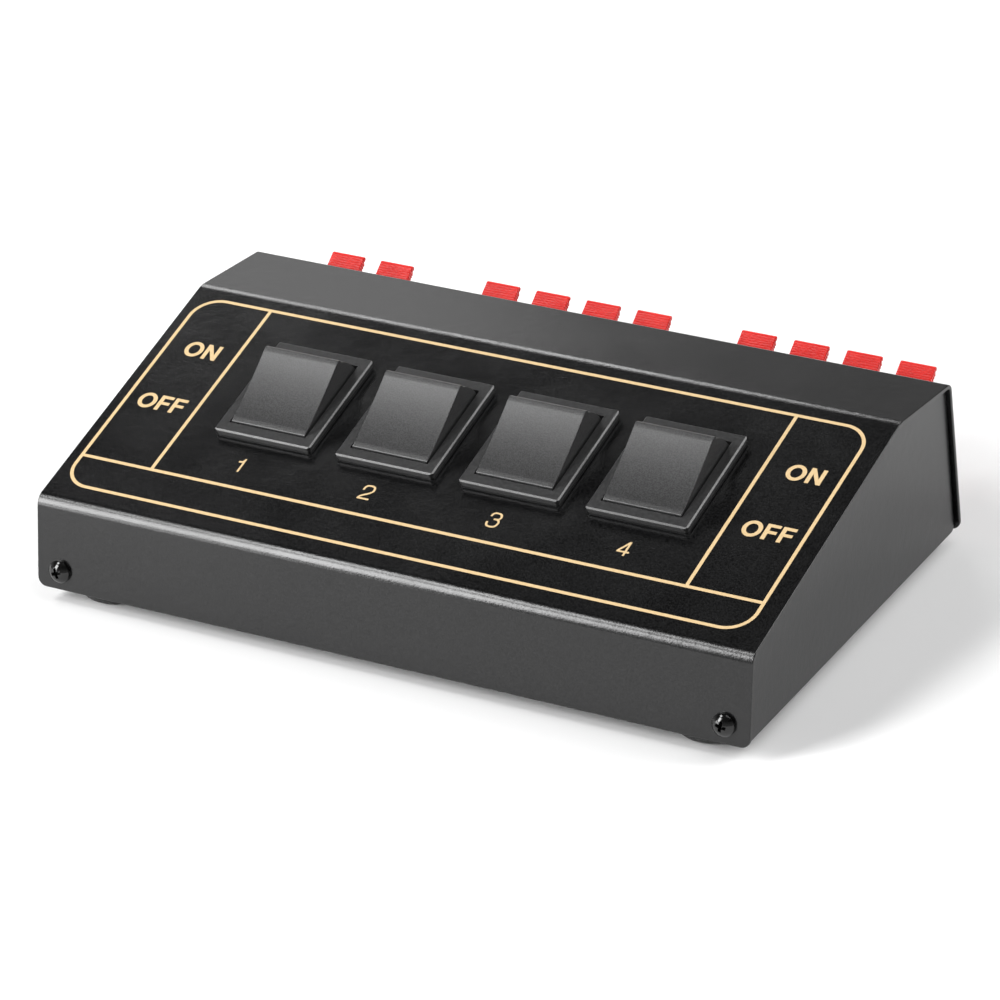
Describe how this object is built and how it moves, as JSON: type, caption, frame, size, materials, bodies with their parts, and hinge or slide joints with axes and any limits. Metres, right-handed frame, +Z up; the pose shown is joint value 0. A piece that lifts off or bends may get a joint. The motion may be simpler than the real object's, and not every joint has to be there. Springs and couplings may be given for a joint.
{
  "type": "speaker selector switch",
  "caption": "Desk-top speaker selector: sloped steel case with rocker switches on its face and push terminals with thumb levers on its rear wall.",
  "frame": {"origin": "on the ground plane under the middle of the whole width and depth, levers and screw heads included", "axes": "+X to the right along the front, +Y from the front wall to the rear wall, +Z up"},
  "size_m": [0.182, 0.1212, 0.047],
  "materials": {
    "cover_paint": "fine textured powder coat, satin",
    "tray_paint": "fine textured powder coat, satin",
    "foot_rubber": "speckled matt rubber",
    "black_screw": "glossy black finish",
    "rocker_plastic": "spark-eroded grain",
    "bezel_plastic": "smooth satin",
    "plunger_plastic": "natural nylon",
    "spring_steel": "drawn wire",
    "copper_contact": "rolled strip",
    "tinned_metal": "tinned",
    "red_plastic": "moulded, slightly translucent",
    "black_plastic": "moulded",
    "block_plastic": "moulded",
    "clip_metal": "spring strip",
    "red_lead": "insulation"
  },
  "bodies": {
    "root": {"top_cover": "cover_paint", "base_tray": "tray_paint", "feet": "foot_rubber", "cover_screws_front": "black_screw", "cover_screws_rear": "black_screw", "switch_housing_1": "bezel_plastic", "switch_housing_2": "bezel_plastic", "switch_housing_3": "bezel_plastic", "switch_housing_4": "bezel_plastic", "switch_terminals": "tinned_metal", "input_block": "block_plastic", "output_block_a": "block_plastic", "output_block_b": "block_plastic", "input_clips": "clip_metal", "output_clips_a": "clip_metal", "output_clips_b": "clip_metal", "block_rivets": "black_screw", "input_leads": "red_lead", "output_leads": "red_lead", "switch_busbars": "tinned_metal", "return_busbars": "tinned_metal"},
    "rocker_1": {"rocker_cap_1": "rocker_plastic", "rocker_plungers_1": "plunger_plastic", "plunger_springs_1": "spring_steel"},
    "blades_1": {"contact_blades_1": "copper_contact"},
    "rocker_2": {"rocker_cap_2": "rocker_plastic", "rocker_plungers_2": "plunger_plastic", "plunger_springs_2": "spring_steel"},
    "blades_2": {"contact_blades_2": "copper_contact"},
    "rocker_3": {"rocker_cap_3": "rocker_plastic", "rocker_plungers_3": "plunger_plastic", "plunger_springs_3": "spring_steel"},
    "blades_3": {"contact_blades_3": "copper_contact"},
    "rocker_4": {"rocker_cap_4": "rocker_plastic", "rocker_plungers_4": "plunger_plastic", "plunger_springs_4": "spring_steel"},
    "blades_4": {"contact_blades_4": "copper_contact"},
    "red_lever_1": {"red_lever_1": "red_plastic"},
    "red_lever_2": {"red_lever_2": "red_plastic"},
    "red_lever_3": {"red_lever_3": "red_plastic"},
    "red_lever_4": {"red_lever_4": "red_plastic"},
    "red_lever_5": {"red_lever_5": "red_plastic"},
    "red_lever_6": {"red_lever_6": "red_plastic"},
    "red_lever_7": {"red_lever_7": "red_plastic"},
    "red_lever_8": {"red_lever_8": "red_plastic"},
    "red_lever_9": {"red_lever_9": "red_plastic"},
    "red_lever_10": {"red_lever_10": "red_plastic"},
    "black_lever_1": {"black_lever_1": "black_plastic"},
    "black_lever_2": {"black_lever_2": "black_plastic"},
    "black_lever_3": {"black_lever_3": "black_plastic"},
    "black_lever_4": {"black_lever_4": "black_plastic"},
    "black_lever_5": {"black_lever_5": "black_plastic"},
    "black_lever_6": {"black_lever_6": "black_plastic"},
    "black_lever_7": {"black_lever_7": "black_plastic"},
    "black_lever_8": {"black_lever_8": "black_plastic"},
    "black_lever_9": {"black_lever_9": "black_plastic"},
    "black_lever_10": {"black_lever_10": "black_plastic"}
  },
  "joints": [
    {"name": "rocker_1_tilt", "type": "hinge", "parent": "root", "child": "rocker_1", "pos_m": [-0.048, -0.01092, 0.03451], "axis": [-1, 0, 0], "range_deg": [0, 37]},
    {"name": "blades_1_tilt", "type": "hinge", "parent": "root", "child": "blades_1", "pos_m": [-0.048, -0.00908, 0.02787], "axis": [1, 0, 0], "range_deg": [0, 12]},
    {"name": "rocker_2_tilt", "type": "hinge", "parent": "root", "child": "rocker_2", "pos_m": [-0.016, -0.01092, 0.03451], "axis": [-1, 0, 0], "range_deg": [0, 37]},
    {"name": "blades_2_tilt", "type": "hinge", "parent": "root", "child": "blades_2", "pos_m": [-0.016, -0.00908, 0.02787], "axis": [1, 0, 0], "range_deg": [0, 12]},
    {"name": "rocker_3_tilt", "type": "hinge", "parent": "root", "child": "rocker_3", "pos_m": [0.016, -0.01092, 0.03451], "axis": [-1, 0, 0], "range_deg": [0, 37]},
    {"name": "blades_3_tilt", "type": "hinge", "parent": "root", "child": "blades_3", "pos_m": [0.016, -0.00908, 0.02787], "axis": [1, 0, 0], "range_deg": [0, 12]},
    {"name": "rocker_4_tilt", "type": "hinge", "parent": "root", "child": "rocker_4", "pos_m": [0.048, -0.01092, 0.03451], "axis": [-1, 0, 0], "range_deg": [0, 37]},
    {"name": "blades_4_tilt", "type": "hinge", "parent": "root", "child": "blades_4", "pos_m": [0.048, -0.00908, 0.02787], "axis": [1, 0, 0], "range_deg": [0, 12]},
    {"name": "red_lever_1_press", "type": "hinge", "parent": "root", "child": "red_lever_1", "pos_m": [-0.07535, 0.04031, 0.0326], "axis": [-1, 0, 0], "range_deg": [0, 14], "stiffness_Nm_per_rad": 0.05},
    {"name": "red_lever_2_press", "type": "hinge", "parent": "root", "child": "red_lever_2", "pos_m": [-0.06185, 0.04031, 0.0326], "axis": [-1, 0, 0], "range_deg": [0, 14], "stiffness_Nm_per_rad": 0.05},
    {"name": "red_lever_3_press", "type": "hinge", "parent": "root", "child": "red_lever_3", "pos_m": [-0.03265, 0.04031, 0.0326], "axis": [-1, 0, 0], "range_deg": [0, 14], "stiffness_Nm_per_rad": 0.05},
    {"name": "red_lever_4_press", "type": "hinge", "parent": "root", "child": "red_lever_4", "pos_m": [-0.01915, 0.04031, 0.0326], "axis": [-1, 0, 0], "range_deg": [0, 14], "stiffness_Nm_per_rad": 0.05},
    {"name": "red_lever_5_press", "type": "hinge", "parent": "root", "child": "red_lever_5", "pos_m": [-0.00565, 0.04031, 0.0326], "axis": [-1, 0, 0], "range_deg": [0, 14], "stiffness_Nm_per_rad": 0.05},
    {"name": "red_lever_6_press", "type": "hinge", "parent": "root", "child": "red_lever_6", "pos_m": [0.00785, 0.04031, 0.0326], "axis": [-1, 0, 0], "range_deg": [0, 14], "stiffness_Nm_per_rad": 0.05},
    {"name": "red_lever_7_press", "type": "hinge", "parent": "root", "child": "red_lever_7", "pos_m": [0.03525, 0.04031, 0.0326], "axis": [-1, 0, 0], "range_deg": [0, 14], "stiffness_Nm_per_rad": 0.05},
    {"name": "red_lever_8_press", "type": "hinge", "parent": "root", "child": "red_lever_8", "pos_m": [0.04875, 0.04031, 0.0326], "axis": [-1, 0, 0], "range_deg": [0, 14], "stiffness_Nm_per_rad": 0.05},
    {"name": "red_lever_9_press", "type": "hinge", "parent": "root", "child": "red_lever_9", "pos_m": [0.06225, 0.04031, 0.0326], "axis": [-1, 0, 0], "range_deg": [0, 14], "stiffness_Nm_per_rad": 0.05},
    {"name": "red_lever_10_press", "type": "hinge", "parent": "root", "child": "red_lever_10", "pos_m": [0.07575, 0.04031, 0.0326], "axis": [-1, 0, 0], "range_deg": [0, 14], "stiffness_Nm_per_rad": 0.05},
    {"name": "black_lever_1_press", "type": "hinge", "parent": "root", "child": "black_lever_1", "pos_m": [-0.07535, 0.0418, 0.01627], "axis": [1, 0, 0], "range_deg": [0, 14], "stiffness_Nm_per_rad": 0.05},
    {"name": "black_lever_2_press", "type": "hinge", "parent": "root", "child": "black_lever_2", "pos_m": [-0.06185, 0.0418, 0.01627], "axis": [1, 0, 0], "range_deg": [0, 14], "stiffness_Nm_per_rad": 0.05},
    {"name": "black_lever_3_press", "type": "hinge", "parent": "root", "child": "black_lever_3", "pos_m": [-0.03265, 0.0418, 0.01627], "axis": [1, 0, 0], "range_deg": [0, 14], "stiffness_Nm_per_rad": 0.05},
    {"name": "black_lever_4_press", "type": "hinge", "parent": "root", "child": "black_lever_4", "pos_m": [-0.01915, 0.0418, 0.01627], "axis": [1, 0, 0], "range_deg": [0, 14], "stiffness_Nm_per_rad": 0.05},
    {"name": "black_lever_5_press", "type": "hinge", "parent": "root", "child": "black_lever_5", "pos_m": [-0.00565, 0.0418, 0.01627], "axis": [1, 0, 0], "range_deg": [0, 14], "stiffness_Nm_per_rad": 0.05},
    {"name": "black_lever_6_press", "type": "hinge", "parent": "root", "child": "black_lever_6", "pos_m": [0.00785, 0.0418, 0.01627], "axis": [1, 0, 0], "range_deg": [0, 14], "stiffness_Nm_per_rad": 0.05},
    {"name": "black_lever_7_press", "type": "hinge", "parent": "root", "child": "black_lever_7", "pos_m": [0.03525, 0.0418, 0.01627], "axis": [1, 0, 0], "range_deg": [0, 14], "stiffness_Nm_per_rad": 0.05},
    {"name": "black_lever_8_press", "type": "hinge", "parent": "root", "child": "black_lever_8", "pos_m": [0.04875, 0.0418, 0.01627], "axis": [1, 0, 0], "range_deg": [0, 14], "stiffness_Nm_per_rad": 0.05},
    {"name": "black_lever_9_press", "type": "hinge", "parent": "root", "child": "black_lever_9", "pos_m": [0.06225, 0.0418, 0.01627], "axis": [1, 0, 0], "range_deg": [0, 14], "stiffness_Nm_per_rad": 0.05},
    {"name": "black_lever_10_press", "type": "hinge", "parent": "root", "child": "black_lever_10", "pos_m": [0.07575, 0.0418, 0.01627], "axis": [1, 0, 0], "range_deg": [0, 14], "stiffness_Nm_per_rad": 0.05}
  ],
  "couplings": [
    {"joint": "blades_1_tilt", "follows": "rocker_1_tilt", "ratio": 0.32432},
    {"joint": "blades_2_tilt", "follows": "rocker_2_tilt", "ratio": 0.32432},
    {"joint": "blades_3_tilt", "follows": "rocker_3_tilt", "ratio": 0.32432},
    {"joint": "blades_4_tilt", "follows": "rocker_4_tilt", "ratio": 0.32432}
  ]
}
